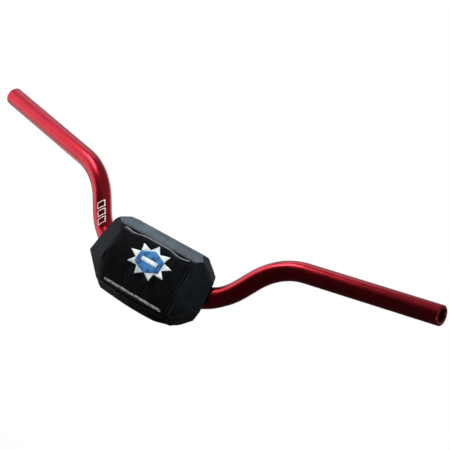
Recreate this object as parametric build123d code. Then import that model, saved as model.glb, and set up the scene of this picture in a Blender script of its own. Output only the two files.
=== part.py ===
"""Motocross handlebar: a tapered red tube with its black pad, in mm.

Origin in the middle of the clamp zone on the tube's axis, +X to the arm on the
right of the picture, +Z up with the rise, +Y towards the rider.
"""
import os
from math import cos, radians, sin, tan

from build123d import *

# Tube
CLAMP_D, GRIP_D, WALL = 28.6, 22.2, 4.0
FIRST_CORNER_X = 88.5              # where the axes of clamp zone and riser meet
RISER, GRIP = 93.0, 196.5          # corner to corner, and corner to end
RISE_ANGLE, UPSWEEP, BACKSWEEP = 53.5, 9.0, 2.5
BEND_R = 82.0                      # both bends, on the axis
TAPER_ANGLE = 35.0                 # part of the first bend that tapers
END_CHAMFER = 0.8

# Corners of the pad's section, as y and z
FRONT_TOP = (-20.4, 34.0)
FRONT_RIDGE = (-28.0, -7.5)
STRIP_FOLD = (-20.5, -32.5)
BOTTOM = (-6.0, -42.5)
BACK_BOTTOM = (20.0, -18.0)
BACK_TOP = (20.0, 22.0)
TOP_BACK = (-1.0, 45.0)
TOP_FRONT = (-11.6, 45.0)

# Half widths where the front meets the end faces, and points on the end faces
HALF_TOP, HALF_RIDGE, HALF_FOLD = 56.4, 58.8, 55.0
END_UPPER_TIP = (88.0, -16.5, -8.0)
END_LOWER_TIP = (86.0, -15.0, -18.0)
END_BACK_EDGE = ((86.5, -13.0), (58.0, 20.0))      # x, y
LOW_CORNER = ((57.0, -38.0), (84.5, -15.0))        # x, z
HIGH_CORNER = ((85.5, 22.0), (55.0, 45.0))         # x, z

# Cover, pocket for the bar clamps, and the way in for the tube
CLOTH, FILM = 1.5, 0.4
POCKET_HALF, POCKET_FRONT = 40.0, -15.5
POCKET_Z = (-31.5, 16.0)
MOUTH_LIP = 1.0                    # cover that hangs over the pocket's edge
SLOT_NIP = 2.3                     # how much tighter than the clamp zone the slot is
SLOT_TURN = 50.0                   # how far round the bend the slot goes
STRAP_W, STRAP_X, STRAP_END = 16.0, 49.0, 1.0      # straps stop short of the back's edges
HOOK_INSET, HOOK_H, HOOK_T = 1.0, 4.5, 1.0

# Hem and print on the front
HEM_INSET, HEM_H, HEM_T = 2.4, 3.0, 1.0
LIGHT_STRIP_W, LIGHT_STRIP_H, LIGHT_STRIP_UP = 92.0, 2.6, 1.0
EMBLEM_X, EMBLEM_Z = 4.0, 10.5       # it sits a little off the middle in the photo
BURST_POINTS, BURST_R, BURST_DEPTH = 9, 33.0, 12.0
FIELD_SIDES, FIELD_R = 6, 22.0
EMBLEM_SQUEEZE = 0.61              # emblem height over its width
BADGE_BAR = (24.0, 5.0)


def plane_yz(p, q):
    """Face through two corners of the section, with its outward normal."""
    n = Vector(0, q[1] - p[1], p[0] - q[0]).normalized()
    return n, n.Y * p[0] + n.Z * p[1]


def plane_points(a, b, c):
    """Face through three points on the right half, facing outward."""
    n = (Vector(*b) - Vector(*a)).cross(Vector(*c) - Vector(*a)).normalized()
    if n.X < 0:
        n = n * -1
    return n, n.dot(Vector(*a))


def plane_along(edge, direction):
    """Face through a two-point edge, parallel to an axis."""
    a, b = edge
    return plane_points(a, b, tuple(Vector(*a) + Vector(*direction)))


def mirrored(face):
    n, d = face
    return Vector(-n.X, n.Y, n.Z), d


# Tube: the axis
def bend(corner, before, after):
    """Arc of BEND_R that rounds a corner: its start, middle and end."""
    half = radians(before.get_angle(after) / 2)
    towards = (after - before).normalized()
    middle = corner + towards * (BEND_R / cos(half) - BEND_R)
    reach = BEND_R * tan(half)
    return corner - before * reach, middle, corner + after * reach


out_x = Vector(1, 0, 0)
up_riser = Vector(cos(radians(RISE_ANGLE)), 0, sin(radians(RISE_ANGLE)))
along_grip = Vector(
    cos(radians(BACKSWEEP)) * cos(radians(UPSWEEP)),
    sin(radians(BACKSWEEP)) * cos(radians(UPSWEEP)),
    sin(radians(UPSWEEP)),
)
corner_1 = Vector(FIRST_CORNER_X, 0, 0)
corner_2 = corner_1 + up_riser * RISER
bar_end = corner_2 + along_grip * GRIP
bend_1 = bend(corner_1, out_x, up_riser)
bend_2 = bend(corner_2, up_riser, along_grip)
bend_1_centre = bend_1[0] + Vector(0, 0, BEND_R)


def on_bend_1(angle, radius=BEND_R):
    a = radians(angle)
    return bend_1_centre + Vector(sin(a), 0, -cos(a)) * radius


def both_sides(solid):
    return solid + mirror(solid, about=Plane.YZ)


def tube_solid(clamp_r, grip_r):
    """Clamp zone, taper in the bend, then riser and grip, on both sides."""
    clamp = Rot(0, 90, 0) * Cylinder(clamp_r, 2 * bend_1[0].X)
    end = on_bend_1(TAPER_ANGLE)
    end_dir = Vector(cos(radians(TAPER_ANGLE)), 0, sin(radians(TAPER_ANGLE)))
    taper = sweep(
        [Plane(bend_1[0], z_dir=out_x) * Circle(clamp_r), Plane(end, z_dir=end_dir) * Circle(grip_r)],
        path=Edge.make_three_point_arc(bend_1[0], on_bend_1(TAPER_ANGLE / 2), end),
        multisection=True,
    )
    arm_path = Wire([
        Edge.make_three_point_arc(end, on_bend_1((TAPER_ANGLE + RISE_ANGLE) / 2), bend_1[2]),
        Edge.make_line(bend_1[2], bend_2[0]),
        Edge.make_three_point_arc(*bend_2),
        Edge.make_line(bend_2[2], bar_end),
    ])
    arm = sweep(Plane(end, z_dir=end_dir) * Circle(grip_r), path=arm_path)
    return clamp + both_sides(taper + arm)


def bar_tube():
    tube = tube_outer - tube_solid(CLAMP_D / 2 - WALL, GRIP_D / 2 - WALL)
    rims = [e for e in tube.edges().filter_by(GeomType.CIRCLE)
            if abs((e.arc_center - bar_end).length) < WALL or abs((e.arc_center - left_end).length) < WALL]
    return chamfer(rims, END_CHAMFER)


tube_outer = tube_solid(CLAMP_D / 2, GRIP_D / 2)
left_end = Vector(-bar_end.X, bar_end.Y, bar_end.Z)

# Pad: the block's faces as outward normal and distance
faces = {
    "front_upper": plane_yz(FRONT_TOP, FRONT_RIDGE),
    "front_lower": plane_yz(FRONT_RIDGE, STRIP_FOLD),
    "bottom_strip": plane_yz(STRIP_FOLD, BOTTOM),
    "back_bottom": plane_yz(BOTTOM, BACK_BOTTOM),
    "back": plane_yz(BACK_BOTTOM, BACK_TOP),
    "back_top": plane_yz(BACK_TOP, TOP_BACK),
    "top": plane_yz(TOP_BACK, TOP_FRONT),
    "top_strip": plane_yz(TOP_FRONT, FRONT_TOP),
}
fold_top = (HALF_TOP, *FRONT_TOP)
fold_ridge = (HALF_RIDGE, *FRONT_RIDGE)
fold_low = (HALF_FOLD, *STRIP_FOLD)
end_faces = {
    "end_upper": plane_points(fold_top, fold_ridge, END_UPPER_TIP),
    "end_lower": plane_points(fold_ridge, fold_low, END_LOWER_TIP),
    "end_back": plane_along([(x, y, 0) for x, y in END_BACK_EDGE], (0, 0, 1)),
    "end_corner_low": plane_along([(x, 0, z) for x, z in LOW_CORNER], (0, 1, 0)),
    "end_corner_high": plane_along([(x, 0, z) for x, z in HIGH_CORNER], (0, 1, 0)),
}
for name, face in end_faces.items():
    faces["right_" + name] = face
    faces["left_" + name] = mirrored(face)


def half_space(n, d):
    reach = 8 * END_UPPER_TIP[0]
    block = Box(reach, reach, reach, align=(Align.CENTER, Align.CENTER, Align.MAX))
    return Plane(n * d, z_dir=n) * block


def pad_block(inset):
    solid = half_space(*faces["back"])
    for n, d in faces.values():
        solid = solid & half_space(n, d - inset)
    return solid


def panel(name):
    """Cloth on one face, mitred against every other face of the block."""
    n, d = faces[name]
    solid = half_space(n, d) - half_space(n, d - CLOTH)
    for other, (m, e) in faces.items():
        if other != name:
            across = m - n
            solid = solid & half_space(across.normalized(), (e - d) / across.length)
    return solid


def on_face(name, z, lift=0.0):
    """Plane on a face at height z, above x = 0, its x along the bar."""
    n, d = faces[name]
    y = (d - n.Z * z) / n.Y
    return Plane(Vector(0, y, z) + n * lift, x_dir=(1, 0, 0), z_dir=n)


def way_in():
    """Slot from the tube's axis to the block's back, along clamp zone and bend."""
    half = CLAMP_D / 2 - SLOT_NIP
    under = [on_bend_1(SLOT_TURN * k / 2, BEND_R + half) for k in range(3)]
    over = [on_bend_1(SLOT_TURN * k / 2, BEND_R - half) for k in range(3)]
    low, high = Vector(0, 0, -half), Vector(0, 0, half)
    outline = Wire([
        Edge.make_line(low, under[0]),
        Edge.make_three_point_arc(*under),
        Edge.make_line(under[2], over[2]),
        Edge.make_three_point_arc(*over),
        Edge.make_line(over[0], high),
        Edge.make_line(high, low),
    ])
    return both_sides(extrude(Face(outline), amount=2 * BACK_TOP[0], dir=(0, 1, 0)))


def ring(points, radius, squeeze, depth=0.0):
    """Closed outline of points round a circle, pulled in by depth between them."""
    steps = points if depth == 0 else 2 * points
    outline = []
    for i in range(steps):
        r = radius if depth == 0 or i % 2 == 0 else radius - depth
        a = radians(90 + 360 * i / steps)
        outline.append((r * cos(a), squeeze * r * sin(a)))
    return make_face(Polyline(*outline, close=True))


def emblem_layer(sketch, layer):
    return on_face("front_upper", EMBLEM_Z, layer * FILM) * Pos(EMBLEM_X, 0, 0) * extrude(sketch, amount=FILM)


def pocket(lip=0.0):
    """Room for the bar clamps, open at the back and below."""
    low, high = POCKET_Z
    block = Box(2 * (POCKET_HALF - lip), 2 * BACK_TOP[0], high - low, align=(Align.CENTER, Align.MIN, Align.MIN))
    return Pos(0, POCKET_FRONT, low) * block


slot = way_in()
mouth = pocket(MOUTH_LIP)
nodes = {"bar_tube": bar_tube(), "pad_foam": pad_block(CLOTH) - tube_outer - slot - pocket()}
for name in faces:
    nodes["pad_" + name] = panel(name) - tube_outer - slot
nodes["pad_front"] = nodes.pop("pad_front_upper") + nodes.pop("pad_front_lower")
nodes["pad_back_bottom"] = nodes["pad_back_bottom"] - mouth
back_parts = (nodes.pop("pad_back") - mouth).solids().sort_by(Axis.Z)
nodes["pad_back_upper"] = back_parts[-1]
nodes["pad_left_back_lower"], nodes["pad_right_back_lower"] = back_parts[:2].sort_by(Axis.X)

# Closing straps over the slot, each held by a hook patch above and below
back_y = BACK_TOP[0]
strap_low, strap_high = BACK_BOTTOM[1] + STRAP_END, BACK_TOP[1] - STRAP_END
on_back = (Align.CENTER, Align.MIN, Align.MIN)
strap = Box(STRAP_W, CLOTH, strap_high - strap_low, align=on_back)
hook_patch = Box(STRAP_W - 2 * HOOK_INSET, HOOK_T, HOOK_H, align=on_back)
for side, x in (("left", -STRAP_X), ("right", STRAP_X)):
    nodes[side + "_strap"] = Pos(x, back_y + HOOK_T, strap_low) * strap
    nodes[side + "_hook_patch_low"] = Pos(x, back_y, strap_low) * hook_patch
    nodes[side + "_hook_patch_high"] = Pos(x, back_y, strap_high - HOOK_H) * hook_patch

# Trim on the front
hem = Box(2 * (HALF_TOP - HEM_INSET), HEM_H, HEM_T, align=(Align.CENTER, Align.MAX, Align.MIN))
nodes["front_hem"] = on_face("front_upper", FRONT_TOP[1]) * hem
strip = Box(LIGHT_STRIP_W, LIGHT_STRIP_H, FILM, align=(Align.CENTER, Align.MIN, Align.MIN))
nodes["light_strip"] = on_face("front_lower", STRIP_FOLD[1] + LIGHT_STRIP_UP) * strip
nodes["emblem_burst"] = emblem_layer(ring(BURST_POINTS, BURST_R, EMBLEM_SQUEEZE, BURST_DEPTH), 0)
nodes["emblem_field"] = emblem_layer(ring(FIELD_SIDES, FIELD_R, EMBLEM_SQUEEZE), 1)
nodes["emblem_bar"] = emblem_layer(Rectangle(*BADGE_BAR), 2)

os.makedirs("parts", exist_ok=True)
for name, solid in nodes.items():
    solid.label = name
    export_step(solid, f"parts/{name}.step")
    box = solid.bounding_box()
    print(f"{name:26} volume {solid.volume:10.1f}  from {tuple(round(v, 1) for v in box.min)}"
          f"  to {tuple(round(v, 1) for v in box.max)}")
print("straight grip", round((bar_end - bend_2[2]).length, 3), "end", bar_end, "along", along_grip)
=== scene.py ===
"""Motocross handlebar: anodised tube, sewn bar pad, straps and print around the frame's solids."""
import math

import bmesh
import bpy
import numpy as np
from mathutils import Matrix, Vector, noise
from mathutils.bvhtree import BVHTree


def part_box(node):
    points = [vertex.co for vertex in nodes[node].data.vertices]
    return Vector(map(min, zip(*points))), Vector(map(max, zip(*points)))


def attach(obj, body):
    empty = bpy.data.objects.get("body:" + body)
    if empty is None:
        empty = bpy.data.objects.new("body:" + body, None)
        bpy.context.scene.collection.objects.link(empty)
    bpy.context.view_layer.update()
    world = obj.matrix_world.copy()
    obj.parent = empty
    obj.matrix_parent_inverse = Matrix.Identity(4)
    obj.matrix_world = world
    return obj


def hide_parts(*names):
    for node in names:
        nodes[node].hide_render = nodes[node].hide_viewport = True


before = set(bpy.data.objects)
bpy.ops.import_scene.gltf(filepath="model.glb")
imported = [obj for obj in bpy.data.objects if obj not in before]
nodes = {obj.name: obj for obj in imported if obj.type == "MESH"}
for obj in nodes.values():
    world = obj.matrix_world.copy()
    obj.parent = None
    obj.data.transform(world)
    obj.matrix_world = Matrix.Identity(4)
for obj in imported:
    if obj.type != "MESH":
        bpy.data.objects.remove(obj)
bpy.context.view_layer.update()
MM = 0.001
ACROSS, AWAY, UP = Vector((1, 0, 0)), Vector((0, 1, 0)), Vector((0, 0, 1))    # seen from the front
CORNERS = ((-1, -1), (1, -1), (1, 1), (-1, 1))     # signs, in order round a rectangle
SAME_PLACE = 1e-6            # corners closer than this are one
SAME_WAY = 0.9995            # cosine between the normals of one flat face

# Camera: the photograph's viewing angle, with its roll
PHOTO_SIZE = 450
FOCAL_PX = 1558.5
SENSOR = 36.0
CAMERA_AT = Vector((1.0779, -1.3668, 0.0942))
CAMERA_RIGHT = Vector((0.7085, 0.5340, 0.4614))
CAMERA_UP = Vector((-0.3720, -0.2730, 0.8872))
CAMERA_REACH = 50            # metres

# The cover's cloth, in metres as everything below unless it says otherwise
CELL = 2.0 * MM              # spacing of its mesh
LEAST_CELL = 0.3 * MM        # corners closer than this are merged after the cuts
CLOTH = 0.9 * MM             # thickness
WEAVE_PITCH, RIB_PITCH = 1.1 * MM, 1.6 * MM
TURN_IN = 2.0 * MM           # cloth lost in each seam
WRINKLE = 0.3 * MM
END_WRINKLE = 0.9 * MM       # the end panels lie looser
WRINKLE_REACH = 5 * MM       # distance from a seam over which wrinkles fade in
WRINKLE_SCALE, FINER = 28.0, 2.7                   # broad waves, and how much finer the small ones are
FRONT_COLUMNS, FRONT_ROWS = 61, 37
RIDGE_SOFT = 9 * MM          # the front bends over this length on each side of its ridge

# The foam's push on the cloth, in the cloth simulation's units
PRESSURE, STIFFNESS = 4.0, 0.05
SLACK = 0.001                # cloth cut this share larger than its flat panel
SETTLE_FRAMES = 20
MOST_RISE = 2.2 * MM         # how far a panel may stand proud of its seams

# The pad in use: each move, and the reach from its start to where it is full, in mm
PAD_SAG, PAD_SAG_HALF = 3.4 * MM, 60 * MM          # of the bottom edge, most in the middle
SAG_DOWN = (18, 34)
LEFT_CREEP_HIGH, LEFT_CREEP_LOW, RIGHT_CREEP = 8.0 * MM, 6.0 * MM, 3.0 * MM
HIGH_ACROSS, HIGH_UP = (45, 63), (22, 36)
LEFT_ACROSS, RIGHT_ACROSS, LOW_DOWN = (35, 50), (30, 50), (34, 42)
BACK_ROUNDING = 0.27         # share of its height that the back loses at the ends
BACK_AWAY, BACK_ACROSS = (0, 9), (40, 65)

# The hem along the front's top edge
HEM_SAG, HEM_SAG_LEAST = 2.6 * MM, 0.4 * MM
HEM_SAG_AT, HEM_SAG_SPREAD = 0.66, 0.2             # in half widths of the front
HEM_STATIONS = 73
HEM_HALF_DEPTH, HEM_LIFT = 0.9 * MM, 0.5 * MM
HEM_DROP, HEM_SEAM_DROP = 0.8, 2.4                 # the roll's middle and its seam, in half heights
BAND_TIP, BAND_TAPER = 0.35, 3                     # share left at a band's tip, and stations to grow

# Print on the front
FILM = 0.15 * MM             # thickness of one layer
PRINT_FROM = -0.05           # in front of the pad, before it is laid on
RAY_FROM = 0.1               # how far back from a vertex its ray to the cloth starts
EMBLEM_SQUEEZE = 0.61        # height over width
BURST_POINTS, BURST_INNER, FIELD_SIDES = 9, 21 / 33, 6

# Foam, straps and stitches
FOAM_CELL, FOAM_RELAX = 1.8 * MM, 4                # of the remesh that rounds the block off
FOAM_SHRINK, FOAM_BUMPS, FOAM_BUMP_SCALE = 0.25 * MM, 0.12 * MM, 220.0
STRAP_BOW, BOW_SHARE = 0.9 * MM, 0.62              # towards the pad, over this share of the length
WEBBING_EDGE, TAPE_EDGE = 0.4 * MM, 0.2 * MM
STITCH_PITCH, STITCH_LENGTH, THREAD = 3.4 * MM, 2.3 * MM, 0.5 * MM
STITCH_INSET, FOLD_INSET = 2.6 * MM, 2.08 * MM     # from a seam, and from the fold below the front
STITCH_STEP, STITCH_LIFT = 2 * MM, 0.05 * MM
SIDE_ROW_POINTS, CROSS_ROW_POINTS, CROSS_ROW_END = 36, 61, 0.94
DROP_FROM = 0.02             # height above the cloth from which a stitch line is dropped

# Mark on the left riser
MARK_AT = Vector((-0.1085, 0, 0.0300))
MARK_ALONG, MARK_FACING = Vector((-0.60, 0, 0.80)), Vector((0.42, -0.90, 0.0))
MARK_PITCH, MARK_HALF_WIDTH, MARK_HALF_HEIGHT = 10.0 * MM, 3.9 * MM, 4.6 * MM
MARK_LINE, MARK_SLANT, MARK_LIFT = 0.95 * MM, 0.45, 0.12 * MM
MARK_FROM = 0.05             # off the tube's axis, before it is laid on

# The studio, in metres
FLOOR_Z, FLOOR_SIZE = -0.45, 6.0
SHADOW_REACH = (0.7, 1.3)    # the floor's shadow fades out between these distances
FLOOR_WHITE = (0.85, 1.0)    # share of plain white in the floor as seen, near and far
AMBIENT = 0.12
# Black cards that show only in reflections, as painted dark zones, each as its lowest and highest corner
CARDS = [((-0.74, -0.80, FLOOR_Z + 0.02), (2.40, -0.78, 1.32)),
         ((-0.54, -2.40, FLOOR_Z + 0.01), (1.30, 1.20, FLOOR_Z + 0.02)),
         ((-1.22, 0.30, -0.40), (-1.20, 1.50, 0.40)),
         ((-2.60, -2.42, FLOOR_Z + 0.02), (-0.60, -2.40, 0.10)),
         ((-2.40, -1.90, 1.32), (2.40, 1.60, 1.34)),
         ((0.40, 1.60, -0.40), (2.40, 1.62, 1.34)),
         ((2.40, -0.80, -0.40), (2.42, 1.60, 1.34))]
CARD_PAINTED_GLOW = (0.04, 0.30)     # painted light: emission of the cards, in place of the studio's light thrown back off them, low and high
CARD_HEIGHTS = (0.10, 1.20)


# Materials
def linear(hex_colour):
    """An sRGB hex colour as linear red, green, blue and alpha."""
    parts = [int(hex_colour[i:i + 2], 16) / 255 for i in (1, 3, 5)]
    return (*[c / 12.92 if c <= 0.04045 else ((c + 0.055) / 1.055) ** 2.4 for c in parts], 1.0)


def grey(value):
    """A grey as red, green, blue and alpha."""
    return (value, value, value, 1.0)


def wire(tree, node, inputs):
    """Gives a node its inputs, each a value or another node's output."""
    for key, value in inputs.items():
        if isinstance(value, bpy.types.NodeSocket):
            tree.links.new(value, node.inputs[key])
        else:
            node.inputs[key].default_value = value


def add(tree, kind, inputs=None, **settings):
    """Adds a node with its settings and its inputs."""
    made = tree.nodes.new(kind)
    for key, value in settings.items():
        setattr(made, key, value)
    wire(tree, made, inputs or {})
    return made


def new_material(name):
    """An empty material with its principled shader and output."""
    material = bpy.data.materials.new(name)
    material.use_nodes = True
    tree = material.node_tree
    tree.nodes.clear()
    shader = add(tree, "ShaderNodeBsdfPrincipled")
    add(tree, "ShaderNodeOutputMaterial", {"Surface": shader.outputs["BSDF"]})
    return material, tree, shader


def ramp(tree, factor, low, high, start=0.35, end=0.65):
    """A colour or a grey that runs between two values as factor goes from start to end."""
    made = add(tree, "ShaderNodeValToRGB", {"Fac": factor})
    stops = made.color_ramp.elements
    stops[0].position, stops[1].position = start, end
    stops[0].color, stops[1].color = low, high
    return made.outputs["Color"]


def speckle(tree, scale, detail, roughness=0.5):
    """Noise from 0 to 1, fixed to the piece."""
    place = add(tree, "ShaderNodeTexCoord").outputs["Object"]
    inputs = {"Vector": place, "Scale": scale, "Detail": detail, "Roughness": roughness}
    return add(tree, "ShaderNodeTexNoise", inputs).outputs["Fac"]


def small_cells(tree, scale, **settings):
    """Distance from the middle of the nearest of many cells, fixed to the piece."""
    place = add(tree, "ShaderNodeTexCoord").outputs["Object"]
    cells = add(tree, "ShaderNodeTexVoronoi", {"Vector": place, "Scale": scale}, **settings)
    return cells.outputs["Distance"]


def threads(tree, pitch, direction, distortion=0.0):
    """Ridges across the cloth, one to each pitch; a wave of scale 1 repeats every 2 pi / 20."""
    uv = add(tree, "ShaderNodeUVMap", uv_map="cloth").outputs["UV"]
    inputs = {"Vector": uv, "Scale": 2 * math.pi / 20 / pitch, "Distortion": distortion}
    return add(tree, "ShaderNodeTexWave", inputs, bands_direction=direction).outputs["Fac"]


def bump(tree, height, strength, depth, **settings):
    """Normal of a relief, its depth in metres."""
    inputs = {"Height": height, "Strength": strength, "Distance": depth}
    return add(tree, "ShaderNodeBump", inputs, **settings).outputs["Normal"]


def anodised_aluminium():
    """Bent aluminium, polished and dyed red under a clear oxide: a tinted mirror, a little cloudy."""
    material, tree, shader = new_material("anodised_aluminium")
    cloudy = speckle(tree, 35.0, 3.0)
    wire(tree, shader, {"Base Color": ramp(tree, cloudy, linear("#AA0E22"), linear("#B61228")),
                        "Roughness": ramp(tree, cloudy, grey(0.23), grey(0.27)),
                        "Metallic": 1.0, "Coat Weight": 0.4, "Coat Roughness": 0.18})
    return material


def coated_cloth(name, dark, light, roughness, gloss_level=0.18, relief=0.12 * MM):
    """Polyester cloth under a soft vinyl coat: a low weave shows through, with scuffed, paler spots."""
    material, tree, shader = new_material(name)
    warp, weft = threads(tree, WEAVE_PITCH, "X"), threads(tree, WEAVE_PITCH, "Y")
    weave = add(tree, "ShaderNodeMath", {0: warp, 1: weft}, operation="MULTIPLY").outputs["Value"]
    scuffs = speckle(tree, 60.0, 5.0, 0.65)
    wire(tree, shader, {"Base Color": ramp(tree, scuffs, linear(dark), linear(light), 0.42, 0.75),
                        "Roughness": ramp(tree, scuffs, grey(roughness - 0.05), grey(roughness + 0.08)),
                        "Normal": bump(tree, weave, 0.35, relief),
                        "Specular IOR Level": gloss_level})
    return material


def cell_foam():
    """Closed-cell foam: dull, dark, with small cut cells all over, each pit darkened with painted shade.
    """
    material, tree, shader = new_material("cell_foam")
    cells = small_cells(tree, 900.0)
    # painted shade: the colour darkens towards the middle of each cell, where the relief sinks into a
    # pit
    wire(tree, shader, {"Base Color": ramp(tree, cells, linear("#17181A"), linear("#2B2C2F"), 0.1, 0.6),
                        "Normal": bump(tree, cells, 0.7, 0.3 * MM),
                        "Roughness": 0.85})
    return material


def ribbed_webbing():
    """Woven nylon webbing: ribs across the strap, each a thread wide, with a dull shine."""
    material, tree, shader = new_material("ribbed_webbing")
    ribs = threads(tree, RIB_PITCH, "Y", 0.6)
    wire(tree, shader, {"Base Color": ramp(tree, ribs, linear("#0C0D0E"), linear("#1E2022"), 0.2, 0.8),
                        "Normal": bump(tree, ribs, 0.6, 0.3 * MM),
                        "Roughness": 0.6})
    return material


def hook_tape():
    """Moulded nylon hooks on tape: a matt black bed of fine points, the bed darkened with painted shade.
    """
    material, tree, shader = new_material("hook_tape")
    hooks = small_cells(tree, 1100.0, feature="SMOOTH_F1")
    # painted shade: the colour darkens away from each point, down into the low bed between them
    wire(tree, shader, {"Base Color": ramp(tree, hooks, linear("#1B1C1E"), linear("#08090A"), 0.1, 0.5),
                        "Normal": bump(tree, hooks, 1.0, 0.5 * MM, invert=True),
                        "Roughness": 0.75})
    return material


def screen_ink(name, dark, light, scale, start=0.4, end=0.6):
    """Screen-printed ink on the cloth: flat, slightly rubbery, its tone uneven where it lies thin."""
    material, tree, shader = new_material(name)
    thin = speckle(tree, scale, 4.0, 0.6)
    wire(tree, shader, {"Base Color": ramp(tree, thin, linear(dark), linear(light), start, end),
                        "Normal": bump(tree, thin, 0.1, 0.1 * MM),
                        "Roughness": 0.5})
    return material


def sewing_thread():
    """Bonded polyester thread: dark, with paler spots painted into its colour as a soft sheen along its
    strands.
    """
    material, tree, shader = new_material("sewing_thread")
    painted_sheen = speckle(tree, 2500.0, 1.0)
    # painted sheen: noise lightens the thread's colour in spots
    wire(tree, shader, {"Base Color": ramp(tree, painted_sheen, linear("#15171A"), linear("#34383C")),
                        "Roughness": 0.5})
    return material


RED = anodised_aluminium()
BLACK = coated_cloth("black_coated_cloth", "#050608", "#0A0C0E", 0.36, 0.04)
BLUE_GREY = coated_cloth("blue_grey_coated_cloth", "#0C1013", "#151C21", 0.55, 0.10)
GREY = coated_cloth("grey_coated_cloth", "#404A4F", "#56636A", 0.48)
HEM = coated_cloth("hem_vinyl", "#0B0C0F", "#15171B", 0.18, 1.0, 0.04 * MM)
FOAM = cell_foam()
WEBBING = ribbed_webbing()
HOOKS = hook_tape()
THREAD_BLACK = sewing_thread()
WHITE_INK = screen_ink("white_ink", "#B4C0C4", "#E2E8E9", 90.0)
BLUE_INK = screen_ink("blue_ink", "#123A63", "#2E78B4", 140.0, 0.38, 0.56)
PALE_INK = screen_ink("pale_ink", "#3C4142", "#A6ADAD", 420.0, 0.40, 0.58)
ETCHED = screen_ink("etched_oxide", "#B9B3B0", "#E4DFDC", 400.0)


# Mesh helpers
def spread(start, end, count):
    """Evenly spaced values from start to end."""
    return [start + (end - start) * k / (count - 1) for k in range(count)]


def to_object(name, bm, material, smooth=True):
    """The bmesh as an object in the scene."""
    mesh = bpy.data.meshes.new(name)
    bm.to_mesh(mesh)
    bm.free()
    piece = bpy.data.objects.new(name, mesh)
    bpy.context.scene.collection.objects.link(piece)
    mesh.materials.append(material)
    for polygon in mesh.polygons:
        polygon.use_smooth = smooth
    return piece


def finish_piece(piece, slot, *replaced):
    """Tells the frame what a piece rides on and hides the nodes it stands for; its slot is not used."""
    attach(piece, "root")
    if replaced:
        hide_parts(*replaced)


def solidify(piece, thickness=CLOTH):
    """Gives a sheet its thickness, inward."""
    shell = piece.modifiers.new("thickness", "SOLIDIFY")
    shell.thickness = thickness
    shell.offset = -1


def add_box(bm, low, high):
    """Adds a box between two opposite corners."""
    size = Matrix.Diagonal((*(high - low), 1))
    bmesh.ops.create_cube(bm, size=1.0, matrix=Matrix.Translation((low + high) / 2) @ size)


def write_uv(bm, x_dir, y_dir):
    """UV in metres along two directions, for the weave."""
    layer = bm.loops.layers.uv.new("cloth")
    for face in bm.faces:
        for loop in face.loops:
            loop[layer].uv = (loop.vert.co.dot(x_dir), loop.vert.co.dot(y_dir))


def slice_up(bm, directions, step):
    """Cuts faces by evenly spaced planes across each direction."""
    for direction in directions:
        reach = [v.co.dot(direction) for v in bm.verts]
        for k in range(math.ceil(min(reach) / step), math.floor(max(reach) / step) + 1):
            bmesh.ops.bisect_plane(bm, geom=bm.verts[:] + bm.edges[:] + bm.faces[:],
                                   plane_co=direction * (k * step), plane_no=direction, dist=SAME_PLACE)


def turn_to_front(bm):
    """Makes a sheet's faces look to the front."""
    bmesh.ops.recalc_face_normals(bm, faces=bm.faces[:])
    if sum(f.normal.y for f in bm.faces) > 0:
        bmesh.ops.reverse_faces(bm, faces=bm.faces[:])


def distance_to_segments(points, segments):
    """Distance from each point to the nearest of the segments."""
    best = np.full(len(points), 1e9)
    for a, b in segments:
        along = b - a
        t = np.clip((points - a) @ along / (along @ along), 0, 1)
        best = np.minimum(best, np.linalg.norm(points - (a + t[:, None] * along), axis=1))
    return best


def surface_tree(*pieces):
    """One search tree over the pieces' meshes, for laying things on them."""
    verts, polygons = [], []
    for piece in pieces:
        start = len(verts)
        verts += [v.co.copy() for v in piece.data.vertices]
        polygons += [[start + i for i in p.vertices] for p in piece.data.polygons]
    return BVHTree.FromPolygons(verts, polygons)


# The cloth's slack, the pad's slump in use, and the foam's push
def wrinkle(point):
    """Slack in the cloth: broad waves with finer ones on them."""
    return noise.noise(point * WRINKLE_SCALE) + 0.5 * noise.noise(point * FINER * WRINKLE_SCALE)


def ease(value, reach):
    """Smooth step from 0 to 1 as a value in metres crosses a reach in millimetres."""
    start, end = reach
    t = min(max((value / MM - start) / (end - start), 0.0), 1.0)
    return t * t * (3 - 2 * t)


def slumped(point):
    """Where a point of the pad lies in use: sagged below, ends crept outward, rounder at the back."""
    x, y, z = point
    high_left = ease(-x, HIGH_ACROSS) * ease(z, HIGH_UP)
    low_left = ease(-x, LEFT_ACROSS) * ease(-z, LOW_DOWN)
    low_right = ease(x, RIGHT_ACROSS) * ease(-z, LOW_DOWN)
    back = ease(y, BACK_AWAY) * ease(abs(x), BACK_ACROSS)
    sag = ease(-z, SAG_DOWN) * max(0.0, 1 - (x / PAD_SAG_HALF) ** 2)
    across = low_right * RIGHT_CREEP - high_left * LEFT_CREEP_HIGH - low_left * LEFT_CREEP_LOW
    up = low_right * RIGHT_CREEP - sag * PAD_SAG - back * BACK_ROUNDING * z
    return point + Vector((across, 0, up))


def add_cloth(piece):
    """A cloth simulation of one panel, pinned along its seams and pushed out by the foam."""
    bm = bmesh.new()
    bm.from_mesh(piece.data)
    seam = [v.index for v in bm.verts if v.is_boundary]
    bm.free()
    piece.vertex_groups.new(name="seam").add(seam, 1.0, "REPLACE")
    cloth = piece.modifiers.new("cloth", "CLOTH")
    cloth.settings.vertex_group_mass = "seam"
    cloth.settings.use_pressure = True
    cloth.settings.uniform_pressure_force = PRESSURE
    cloth.settings.bending_stiffness = STIFFNESS
    cloth.settings.shrink_min = -SLACK
    cloth.settings.effector_weights.gravity = 0.0
    cloth.point_cache.frame_end = SETTLE_FRAMES


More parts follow.
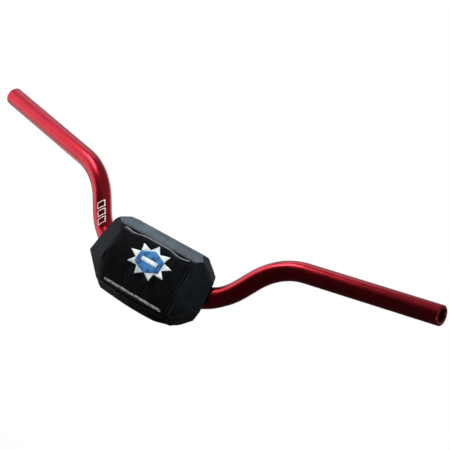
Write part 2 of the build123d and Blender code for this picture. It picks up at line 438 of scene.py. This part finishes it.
def settle(pieces):
    """Blows the panels out over the foam, and keeps their shape as it lies in use."""
    scene = bpy.context.scene
    for piece in pieces:
        add_cloth(piece)
    for frame_number in range(1, SETTLE_FRAMES + 1):
        scene.frame_set(frame_number)
    depsgraph = bpy.context.evaluated_depsgraph_get()
    for piece in pieces:
        settled = [v.co.copy() for v in piece.evaluated_get(depsgraph).data.vertices]
        piece.modifiers.clear()
        piece.vertex_groups.clear()
        for vert, co in zip(piece.data.vertices, settled):
            moved = co - vert.co
            if moved.length > 0:     # large moves level off at the most rise
                moved *= MOST_RISE * math.tanh(moved.length / MOST_RISE) / moved.length
            vert.co = slumped(vert.co + moved)
    scene.frame_set(1)


# Cover panels cut from the flat faces of the frame's solids
pad_low, pad_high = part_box("pad_foam")
PAD_CENTRE = (pad_low + pad_high) / 2


def outer_face(name):
    """The outward flat face of a cover panel's slab, as a bmesh, and its normal."""
    bm = bmesh.new()
    bm.from_mesh(nodes[name].data)
    bmesh.ops.remove_doubles(bm, verts=bm.verts[:], dist=SAME_PLACE)
    areas = {}
    for face in bm.faces:
        if face.normal.dot(face.calc_center_median() - PAD_CENTRE) > 0:
            key = tuple(round(c, 2) for c in face.normal)
            areas[key] = areas.get(key, 0) + face.calc_area()
    normal = Vector(max(areas, key=areas.get)).normalized()
    loose = [f for f in bm.faces if f.normal.dot(normal) < SAME_WAY
             or f.normal.dot(f.calc_center_median() - PAD_CENTRE) < 0]
    bmesh.ops.delete(bm, geom=loose, context="FACES")
    normal = sum((f.normal * f.calc_area() for f in bm.faces), Vector()).normalized()
    bmesh.ops.dissolve_limit(bm, angle_limit=math.radians(1), verts=bm.verts[:], edges=bm.edges[:])
    return bm, normal


def flat_panel(name, material):
    """A panel's cloth before it is blown out, with its flat size and area."""
    bm, normal = outer_face(name)
    segments = [(np.array(e.verts[0].co), np.array(e.verts[1].co)) for e in bm.edges if e.is_boundary]
    x_dir = normal.orthogonal().normalized() if abs(normal.x) > 0.9 else ACROSS
    x_dir = (x_dir - normal * x_dir.dot(normal)).normalized()
    y_dir = normal.cross(x_dir)
    slice_up(bm, (x_dir, y_dir), CELL)
    bmesh.ops.remove_doubles(bm, verts=bm.verts[:], dist=LEAST_CELL)
    write_uv(bm, x_dir, y_dir)
    area = sum(f.calc_area() for f in bm.faces)
    reach = [[v.co.dot(d) for v in bm.verts] for d in (x_dir, y_dir)]
    flat = [max(r) - min(r) + 2 * TURN_IN for r in reach]
    points = np.array([v.co for v in bm.verts])
    loose = END_WRINKLE if "_end_" in name else WRINKLE
    for vert, distance in zip(bm.verts, distance_to_segments(points, segments)):
        vert.co += normal * (loose * wrinkle(vert.co) * min(1, distance / WRINKLE_REACH))
    return to_object(name + "_cloth", bm, material), flat, area


PANELS = {"pad_top_strip": (GREY, "grey_vinyl")}      # material and slot of each
for name in ("bottom_strip", "top", "back_top", "back_upper", "back_bottom",
             "left_back_lower", "right_back_lower"):
    PANELS["pad_" + name] = (BLACK, "black_vinyl")
for side in ("left", "right"):
    for end in ("end_upper", "end_lower", "end_back", "end_corner_high", "end_corner_low"):
        PANELS[f"pad_{side}_{end}"] = (BLUE_GREY, "blue_grey_cloth")


# Front panel: one cloth folded over the ridge, its top edge hemmed and a little slack
def extreme(name, direction):
    """The vertex of a node that lies farthest along a direction."""
    corners = [v.co for v in nodes[name].data.vertices]
    return max(corners, key=lambda co: co.dot(Vector(direction))).copy()


front_top = extreme("pad_front", (0.2, -0.3, 1))
front_ridge = extreme("pad_front", (0.3, -1, 0))
front_fold = extreme("pad_front", (0.2, -0.3, -1))
FRONT_LENGTH = (front_ridge - front_top).length + (front_fold - front_ridge).length


def front_edge(s):
    """Right-hand edge of the front at distance s down from its top, rounded over the ridge."""
    upper = (front_ridge - front_top).length
    s = max(s, 0.0)
    if s < upper - RIDGE_SOFT:
        return front_top.lerp(front_ridge, s / upper)
    lower = (front_fold - front_ridge).length
    if s > upper + RIDGE_SOFT:
        return front_ridge.lerp(front_fold, min((s - upper) / lower, 1.0))
    a = front_ridge.lerp(front_top, RIDGE_SOFT / upper)
    b = front_ridge.lerp(front_fold, RIDGE_SOFT / lower)
    t = (s - upper + RIDGE_SOFT) / (2 * RIDGE_SOFT)
    return a * (1 - t) ** 2 + front_ridge * 2 * t * (1 - t) + b * t ** 2


def hem_sag(u):
    """How far the hem hangs below the front's top edge, most near each end."""
    return HEM_SAG * math.exp(-((abs(u) - HEM_SAG_AT) / HEM_SAG_SPREAD) ** 2) + HEM_SAG_LEAST


def front_point(u, s):
    """Point and normal of the front at u across, from -1 to 1, and s down."""
    edge = front_edge(s)
    ahead, behind = front_edge(s + MM), front_edge(s - MM if s > MM else 0)
    normal = ACROSS.cross(behind - ahead).normalized()
    if normal.y > 0:
        normal = -normal
    point = Vector((edge.x * u, edge.y, edge.z))
    fade = min(1, edge.x * (1 - abs(u)) / WRINKLE_REACH, (FRONT_LENGTH - s) / WRINKLE_REACH)
    return point + normal * (WRINKLE * wrinkle(point) * fade), normal


def front_panel():
    """The front's cloth before it is blown out, a grid from the hem down."""
    bm = bmesh.new()
    layer = bm.loops.layers.uv.new("cloth")
    columns = [(u, spread(hem_sag(u), FRONT_LENGTH, FRONT_ROWS)) for u in spread(-1, 1, FRONT_COLUMNS)]
    grid, flat = [], {}
    for j in range(FRONT_ROWS):
        row = [bm.verts.new(front_point(u, downs[j])[0]) for u, downs in columns]
        flat.update({vert: (u * front_ridge.x, -downs[j]) for vert, (u, downs) in zip(row, columns)})
        grid.append(row)
    for high, low in zip(grid, grid[1:]):
        for i in range(FRONT_COLUMNS - 1):
            face = bm.faces.new((low[i], low[i + 1], high[i + 1], high[i]))
            for loop in face.loops:
                loop[layer].uv = flat[loop.vert]
    turn_to_front(bm)
    return to_object("pad_front_cloth", bm, BLACK)


cuts = {name: flat_panel(name, material) for name, (material, slot) in PANELS.items()}
front = front_panel()
settle([front] + [piece for piece, _, _ in cuts.values()])
surfaces = {name: surface_tree(piece) for name, (piece, _, _) in cuts.items()}
front_surface = surface_tree(front)
for name, (piece, flat, area) in cuts.items():
    solidify(piece)
    finish_piece(piece, PANELS[name][1], name)
solidify(front)
finish_piece(front, "black_vinyl", "pad_front")


def on_front(u, s):
    """Point and normal of the settled front near u across and s down."""
    point, normal = front_point(u, s)
    return front_surface.find_nearest(slumped(point))[0], normal


# Hem: a soft roll along the front's top edge
def swept_band(name, stations, half_height, half_depth, material, sides=12):
    """A closed oval band along stations of (point, outward normal)."""
    bm = bmesh.new()
    layer = bm.loops.layers.uv.new("cloth")
    rings, run, last = [], 0.0, len(stations) - 1
    for k, (point, normal) in enumerate(stations):
        before, after = stations[max(k - 1, 0)][0], stations[min(k + 1, last)][0]
        up = normal.cross((after - before).normalized()).normalized()
        taper = min(1.0, BAND_TIP + k / BAND_TAPER, BAND_TIP + (last - k) / BAND_TAPER)
        run += (point - before).length
        ring = []
        for i in range(sides):
            a = 2 * math.pi * i / sides
            high = up * (half_height * taper * math.cos(a))
            out = normal * (half_depth * taper * math.sin(a))
            ring.append((bm.verts.new(point + (high + out)), (run, half_height * math.cos(a))))
        rings.append(ring)
    for a, b in zip(rings, rings[1:]):
        for i in range(sides):
            corners = [a[i], a[(i + 1) % sides], b[(i + 1) % sides], b[i]]
            face = bm.faces.new([c[0] for c in corners])
            for loop, corner in zip(face.loops, corners):
                loop[layer].uv = corner[1]
    for ring in (rings[0], rings[-1]):
        bm.faces.new([c[0] for c in ring])
    bmesh.ops.recalc_face_normals(bm, faces=bm.faces[:])
    return to_object(name, bm, material)


def smoothed(points, reach=3):
    """Points of a line, each moved to the mean of its neighbours."""
    near = [points[max(0, i - reach):i + reach + 1] for i in range(len(points))]
    return [sum(group, Vector()) / len(group) for group in near]


hem_low, hem_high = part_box("front_hem")
hem_half = (hem_high.z - hem_low.z) / 2
hem_reach = hem_high.x / front_top.x
along_hem = [hem_reach * u for u in spread(-1, 1, HEM_STATIONS)]
spots, normals = zip(*[on_front(u, hem_sag(u) + HEM_DROP * hem_half) for u in along_hem])
middles = smoothed([spot + normal * HEM_LIFT for spot, normal in zip(spots, normals)])
hem = swept_band("front_hem_roll", list(zip(middles, smoothed(normals))), hem_half, HEM_HALF_DEPTH, HEM)
finish_piece(hem, "black_vinyl", "front_hem")


# Print on the front, laid on the cloth
def lay_on(bm, surface, direction, lift):
    """Moves every vertex along direction onto the surface, then off it by lift."""
    for vert in bm.verts:
        start = vert.co - direction * RAY_FROM
        spot, normal, _, _ = surface.ray_cast(start, direction)
        if spot is None:
            spot, normal, _, _ = surface.find_nearest(vert.co)
        if normal.dot(direction) > 0:
            normal = -normal
        vert.co = spot + normal * lift


def printed_shape(node, outline, layer, material, slot):
    """The print that stands for a node: a flat outline in x and z, cut fine and laid on the front."""
    bm = bmesh.new()
    bm.faces.new([bm.verts.new((x, PRINT_FROM, z)) for x, z in outline])
    slice_up(bm, (ACROSS, UP), CELL)
    write_uv(bm, ACROSS, UP)
    bmesh.ops.triangulate(bm, faces=bm.faces[:])
    turn_to_front(bm)
    lay_on(bm, front_surface, AWAY, layer * FILM)
    piece = to_object(node + "_print", bm, material)
    solidify(piece, FILM)
    finish_piece(piece, slot, node)


def centre_and_half(name):
    """Middle and half size of a node's box."""
    low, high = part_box(name)
    return (low + high) / 2, (high - low) / 2


def ring_outline(centre, half_width, points, inner=1.0):
    """Outline of a squeezed ring of points, every second one drawn in when inner is under 1."""
    steps = points if inner == 1.0 else 2 * points
    ring = []
    for i in range(steps):
        r = inner if inner < 1 and i % 2 else 1.0
        a = math.pi / 2 + 2 * math.pi * i / steps
        ring.append((r * math.cos(a), EMBLEM_SQUEEZE * r * math.sin(a)))
    radius = half_width / max(x for x, _ in ring)
    return [(centre.x + radius * x, centre.z + radius * z) for x, z in ring]


def rectangle(centre, half):
    """Outline of a node's box, seen from the front."""
    return [(centre.x + sx * half.x, centre.z + sz * half.z) for sx, sz in CORNERS]


_, burst_half = centre_and_half("emblem_burst")
emblem_at, field_half = centre_and_half("emblem_field")
burst = ring_outline(emblem_at, burst_half.x, BURST_POINTS, BURST_INNER)
field = ring_outline(emblem_at, field_half.x, FIELD_SIDES)
printed_shape("emblem_burst", burst, 1, WHITE_INK, "white_print")
printed_shape("emblem_field", field, 2, BLUE_INK, "blue_print")
printed_shape("emblem_bar", rectangle(*centre_and_half("emblem_bar")), 3, WHITE_INK, "white_print")
printed_shape("light_strip", rectangle(*centre_and_half("light_strip")), 1, PALE_INK, "light_print")


# Foam block: the solid rounded off by a fine remesh
def foam_block():
    """The foam as a rounded, slightly uneven block, a little inside its solid."""
    bm = bmesh.new()
    bm.from_mesh(nodes["pad_foam"].data)
    bmesh.ops.remove_doubles(bm, verts=bm.verts[:], dist=SAME_PLACE)
    block = to_object("pad_foam_block", bm, FOAM)
    remesh = block.modifiers.new("cells", "REMESH")
    remesh.mode = "VOXEL"
    remesh.voxel_size = FOAM_CELL
    remesh.use_smooth_shade = True
    block.modifiers.new("relax", "SMOOTH").iterations = FOAM_RELAX
    evaluated = block.evaluated_get(bpy.context.evaluated_depsgraph_get())
    mesh = bpy.data.meshes.new_from_object(evaluated)
    block.modifiers.clear()
    block.data = mesh
    for vert in mesh.vertices:
        rise = FOAM_BUMPS * noise.noise(vert.co * FOAM_BUMP_SCALE) - FOAM_SHRINK
        vert.co = slumped(vert.co + vert.normal * rise)
    return block


foam = foam_block()
finish_piece(foam, "foam", "pad_foam")


# Straps and hook patches at the back
def soft_slab(name, low, high, material, edge, bow=0.0):
    """A slab with rounded edges, its middle bowed towards the pad."""
    bm = bmesh.new()
    add_box(bm, low, high)
    slice_up(bm, (UP, ACROSS), CELL)
    rims = [e for e in bm.edges if e.calc_face_angle(0) > 1]
    bmesh.ops.bevel(bm, geom=rims, offset=edge, segments=3, affect="EDGES", profile=0.5)
    bmesh.ops.recalc_face_normals(bm, faces=bm.faces[:])
    write_uv(bm, ACROSS, UP)
    middle_z, half_z = (low.z + high.z) / 2, (high.z - low.z) / 2
    for vert in bm.verts:
        vert.co.y -= bow * max(0.0, 1 - ((vert.co.z - middle_z) / (BOW_SHARE * half_z)) ** 2)
    return to_object(name, bm, material)


for side in ("left", "right"):
    low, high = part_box(side + "_strap")
    strap = soft_slab(side + "_strap_webbing", low, high, WEBBING, WEBBING_EDGE, STRAP_BOW)
    finish_piece(strap, "webbing", side + "_strap")
    for end in ("low", "high"):
        node = f"{side}_hook_patch_{end}"
        patch = soft_slab(node + "_tape", *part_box(node), HOOKS, TAPE_EDGE)
        finish_piece(patch, "hook_tape", node)


# Stitches
def stitch_tree():
    """Puts a short capped stitch at every pitch along the edges it is given."""
    tree = bpy.data.node_groups.new("stitch_row", "GeometryNodeTree")
    face = tree.interface
    face.new_socket("Geometry", in_out="INPUT", socket_type="NodeSocketGeometry")
    face.new_socket("Geometry", in_out="OUTPUT", socket_type="NodeSocketGeometry")
    for name, value in (("Pitch", STITCH_PITCH), ("Length", STITCH_LENGTH), ("Thread", THREAD)):
        face.new_socket(name, in_out="INPUT", socket_type="NodeSocketFloat").default_value = value
    face.new_socket("Material", in_out="INPUT", socket_type="NodeSocketMaterial")
    given = add(tree, "NodeGroupInput").outputs
    line = add(tree, "GeometryNodeMeshToCurve", {"Mesh": given["Geometry"]})
    even = add(tree, "GeometryNodeResampleCurve",
               {"Curve": line.outputs["Curve"], "Length": given["Pitch"]}, mode="LENGTH")
    tangent = add(tree, "GeometryNodeInputTangent").outputs["Tangent"]
    turn = add(tree, "FunctionNodeAlignRotationToVector", {"Vector": tangent}, axis="Z")
    half = add(tree, "ShaderNodeMath", {0: given["Thread"], 1: 0.5}, operation="MULTIPLY")
    stitch = add(tree, "GeometryNodeMeshCylinder",
                 {"Vertices": 6, "Side Segments": 2, "Radius": half.outputs["Value"],
                  "Depth": given["Length"]}, fill_type="TRIANGLE_FAN")
    rows = add(tree, "GeometryNodeInstanceOnPoints",
               {"Points": even.outputs["Curve"], "Instance": stitch.outputs["Mesh"],
                "Rotation": turn.outputs["Rotation"]})
    real = add(tree, "GeometryNodeRealizeInstances", {"Geometry": rows.outputs["Instances"]})
    dressed = add(tree, "GeometryNodeSetMaterial",
                  {"Geometry": real.outputs["Geometry"], "Material": given["Material"]})
    add(tree, "NodeGroupOutput", {"Geometry": dressed.outputs["Geometry"]})
    return tree


STITCHES = stitch_tree()


def stitch_rows(name, lines):
    """Rows of stitches along lists of points, as one plain mesh."""
    mesh = bpy.data.meshes.new(name + "_lines")
    verts, edges = [], []
    for line in lines:
        start = len(verts)
        verts += line
        edges += [(start + i, start + i + 1) for i in range(len(line) - 1)]
    mesh.from_pydata(verts, edges, [])
    rows = bpy.data.objects.new(name, mesh)
    bpy.context.scene.collection.objects.link(rows)
    modifier = rows.modifiers.new("stitches", "NODES")
    modifier.node_group = STITCHES
    for item in STITCHES.interface.items_tree:
        if item.in_out == "INPUT" and item.name == "Material":
            modifier[item.identifier] = THREAD_BLACK
    evaluated = rows.evaluated_get(bpy.context.evaluated_depsgraph_get())
    plain = bpy.data.meshes.new_from_object(evaluated)
    rows.modifiers.clear()
    rows.data = plain
    finish_piece(rows, "black_vinyl")


def on_surface(line, surface, normal):
    """Points every step along a line, dropped onto a surface against its normal."""
    points = []
    for a, b in zip(line, line[1:]):
        pieces = max(1, round((b - a).length / STITCH_STEP))
        for k in range(pieces):
            point = slumped(a.lerp(b, k / pieces))
            spot = surface.ray_cast(point + normal * DROP_FROM, -normal)[0]
            if spot is not None:
                points.append(spot + normal * STITCH_LIFT)
    return points


def panel_stitch_line(name):
    """A closed line inside a panel's outline, mitred at its corners, lying on its cloth."""
    bm, normal = outer_face(name)
    outline = [v.co.copy() for v in max(bm.faces, key=lambda f: f.calc_area()).verts]
    bm.free()
    centre = sum(outline, Vector()) / len(outline)
    line = []
    count = len(outline)
    for i in range(count + 1):
        before, here, after = outline[i - 1], outline[i % count], outline[(i + 1) % count]
        a = normal.cross(here - before).normalized()
        b = normal.cross(after - here).normalized()
        if a.dot(centre - here) < 0:
            a = -a
        if b.dot(centre - here) < 0:
            b = -b
        inward = (a + b) / (1 + a.dot(b)) if a.dot(b) > -0.5 else a
        line.append(here + inward * STITCH_INSET)
    return on_surface(line, surfaces[name], normal)


def side_stitch_line(side):
    """A line down the front beside one of its side seams."""
    start = hem_sag(side) + STITCH_INSET
    downs = spread(start, start + FRONT_LENGTH - 3 * STITCH_INSET, SIDE_ROW_POINTS)
    return [on_front(side * (1 - STITCH_INSET / front_edge(s).x), s)[0] for s in downs]


stitched = ["pad_top_strip", "pad_bottom_strip", "pad_top", "pad_back_top"]
for side in ("left", "right"):
    stitched += [f"pad_{side}_end_corner_high", f"pad_{side}_end_lower"]
stitch_rows("cover_stitches", [panel_stitch_line(name) for name in stitched])

cross_row = spread(-CROSS_ROW_END, CROSS_ROW_END, CROSS_ROW_POINTS)
fold_line = [on_front(u, FRONT_LENGTH - FOLD_INSET)[0] for u in cross_row]
hem_line = [on_front(u, hem_sag(u) + HEM_SEAM_DROP * hem_half)[0] for u in cross_row]
stitch_rows("front_stitches", [side_stitch_line(-1), side_stitch_line(1), fold_line, hem_line])

# Tube
tube = nodes["bar_tube"]
tube.data.materials.clear()
tube.data.materials.append(RED)


def slanted_corners(centre, inset):
    """Corners of a slanted bar of the mark, drawn in by inset."""
    half_width, half_height = MARK_HALF_WIDTH - inset, MARK_HALF_HEIGHT - inset
    return [(centre + sx * half_width + sz * half_height * MARK_SLANT, sz * half_height)
            for sx, sz in CORNERS]


def riser_mark():
    """Three slanted outlines etched on the left riser, where it leaves the pad."""
    along, facing = MARK_ALONG.normalized(), MARK_FACING.normalized()
    facing = (facing - along * facing.dot(along)).normalized()
    across = along.cross(facing)
    start = MARK_AT + facing * MARK_FROM
    bm = bmesh.new()
    for k in (-1, 0, 1):
        outer, inner = slanted_corners(k * MARK_PITCH, 0.0), slanted_corners(k * MARK_PITCH, MARK_LINE)
        for i in range(4):
            j = (i + 1) % 4
            quad = [outer[i], outer[j], inner[j], inner[i]]
            bm.faces.new([bm.verts.new(start + along * a + across * b) for a, b in quad])
    bmesh.ops.remove_doubles(bm, verts=bm.verts[:], dist=SAME_PLACE)
    bmesh.ops.subdivide_edges(bm, edges=bm.edges[:], cuts=5, use_grid_fill=True)
    lay_on(bm, surface_tree(tube), -facing, MARK_LIFT)
    bmesh.ops.recalc_face_normals(bm, faces=bm.faces[:])
    mark = to_object("riser_mark", bm, ETCHED)
    if sum(p.normal.dot(facing) for p in mark.data.polygons) < 0:
        mark.data.flip_normals()
    finish_piece(mark, "white_print")


riser_mark()


# Camera, floor and light
def make_camera():
    """The photograph's camera."""
    camera = bpy.data.objects.new("camera", bpy.data.cameras.new("camera"))
    bpy.context.scene.collection.objects.link(camera)
    back = CAMERA_RIGHT.cross(CAMERA_UP).normalized()
    up = back.cross(CAMERA_RIGHT).normalized()
    turn = Matrix((CAMERA_RIGHT.normalized(), up, back)).transposed().to_4x4()
    camera.matrix_world = Matrix.Translation(CAMERA_AT) @ turn
    camera.data.sensor_width = SENSOR
    camera.data.lens = FOCAL_PX / PHOTO_SIZE * SENSOR
    camera.data.clip_end = CAMERA_REACH
    bpy.context.scene.camera = camera


def soft_box(name, at, width, height, power, colour="#FFFFFF", mirrored=True):
    """A rectangular lamp that faces the pad, and that shows in the tube when it is mirrored."""
    lamp = bpy.data.lights.new(name, "AREA")
    lamp.shape = "RECTANGLE"
    lamp.size, lamp.size_y = width, height
    lamp.energy = power
    lamp.color = linear(colour)[:3]
    piece = bpy.data.objects.new(name, lamp)
    piece.visible_glossy = mirrored
    piece.location = at
    piece.rotation_euler = (-Vector(at)).to_track_quat("-Z", "Y").to_euler()
    bpy.context.scene.collection.objects.link(piece)


def black_cards():
    """Matt cards round the part that show only in its gloss, as painted reflections that make its dark
    zones, lit by painted emission that is paler higher up.
    """
    material, tree, shader = new_material("black_card")
    place = add(tree, "ShaderNodeTexCoord").outputs["Object"]
    height = add(tree, "ShaderNodeSeparateXYZ", {"Vector": place}).outputs["Z"]
    # painted light: emission on the cards, rising with height, lightens the reflections of them
    painted_glow = add(tree, "ShaderNodeMapRange",
               {"Value": height, "From Min": CARD_HEIGHTS[0], "From Max": CARD_HEIGHTS[1],
                "To Min": CARD_PAINTED_GLOW[0], "To Max": CARD_PAINTED_GLOW[1]})
    wire(tree, shader, {"Base Color": linear("#050505"), "Roughness": 0.95, "Specular IOR Level": 0.0,
                        "Emission Color": grey(1.0), "Emission Strength": painted_glow.outputs["Result"]})
    bm = bmesh.new()
    for low, high in CARDS:
        add_box(bm, Vector(low), Vector(high))
    cards = to_object("black_cards", bm, material, smooth=False)
    cards.visible_camera = cards.visible_diffuse = cards.visible_shadow = False


def white_where_seen(tree, shader, share=1.0):
    """Mixes plain white in for the camera, and for what it sees in metal or through glass."""
    path = add(tree, "ShaderNodeLightPath").outputs
    gloss = add(tree, "ShaderNodeMath", {0: path["Is Camera Ray"], 1: path["Is Glossy Ray"]},
                operation="MAXIMUM")
    seen = add(tree, "ShaderNodeMath", {0: gloss.outputs["Value"], 1: path["Is Transmission Ray"]},
               operation="MAXIMUM")
    part = add(tree, "ShaderNodeMath", {0: seen.outputs["Value"], 1: share}, operation="MULTIPLY")
    white = add(tree, "ShaderNodeEmission", {"Color": grey(1.0), "Strength": 1.0})
    mix = add(tree, "ShaderNodeMixShader", {0: part.outputs["Value"], 1: shader, 2: white.outputs[0]})
    return mix.outputs[0]


def make_world():
    """A dim grey world that is seen as plain white."""
    world = bpy.data.worlds.new("studio")
    bpy.context.scene.world = world
    world.use_nodes = True
    tree = world.node_tree
    tree.nodes.clear()
    dim = add(tree, "ShaderNodeBackground", {"Color": linear("#C8CCD0"), "Strength": AMBIENT})
    add(tree, "ShaderNodeOutputWorld", {"Surface": white_where_seen(tree, dim.outputs[0])})


def make_floor():
    """A pale floor that keeps the shadow near the part and fades to plain white farther out."""
    bm = bmesh.new()
    bmesh.ops.create_grid(bm, x_segments=1, y_segments=1, size=FLOOR_SIZE,
                          matrix=Matrix.Translation((0, 0, FLOOR_Z)))
    material, tree, shader = new_material("pale_floor")
    wire(tree, shader, {"Base Color": linear("#E6E6E4"), "Roughness": 0.9})
    place = add(tree, "ShaderNodeTexCoord").outputs["Object"]
    far = add(tree, "ShaderNodeVectorMath", {0: place}, operation="LENGTH")
    share = add(tree, "ShaderNodeMapRange",
                {"Value": far.outputs["Value"], "From Min": SHADOW_REACH[0], "From Max": SHADOW_REACH[1],
                 "To Min": FLOOR_WHITE[0], "To Max": FLOOR_WHITE[1]})
    output = next(n for n in tree.nodes if n.type == "OUTPUT_MATERIAL")
    seen = white_where_seen(tree, shader.outputs["BSDF"], share.outputs["Result"])
    wire(tree, output, {"Surface": seen})
    to_object("floor", bm, material, smooth=False)


make_camera()
make_world()
make_floor()
black_cards()
soft_box("left_box", (-0.86, -0.40, 0.20), 0.60, 1.30, 2.0, "#EAECFF")
soft_box("left_top_box", (-0.78, 0.10, 1.00), 0.60, 0.60, 1.2, "#EAECFF")
soft_box("hem_box", (-0.44, -0.40, 0.50), 0.22, 0.30, 1.3)
soft_box("back_box", (0.30, 1.20, 0.60), 1.20, 0.80, 26.0, mirrored=False)
soft_box("top_box", (0.12, -0.42, 1.15), 0.60, 0.60, 22.0, mirrored=False)

bpy.context.scene.view_settings.view_transform = "Standard"
bpy.context.view_layer.update()
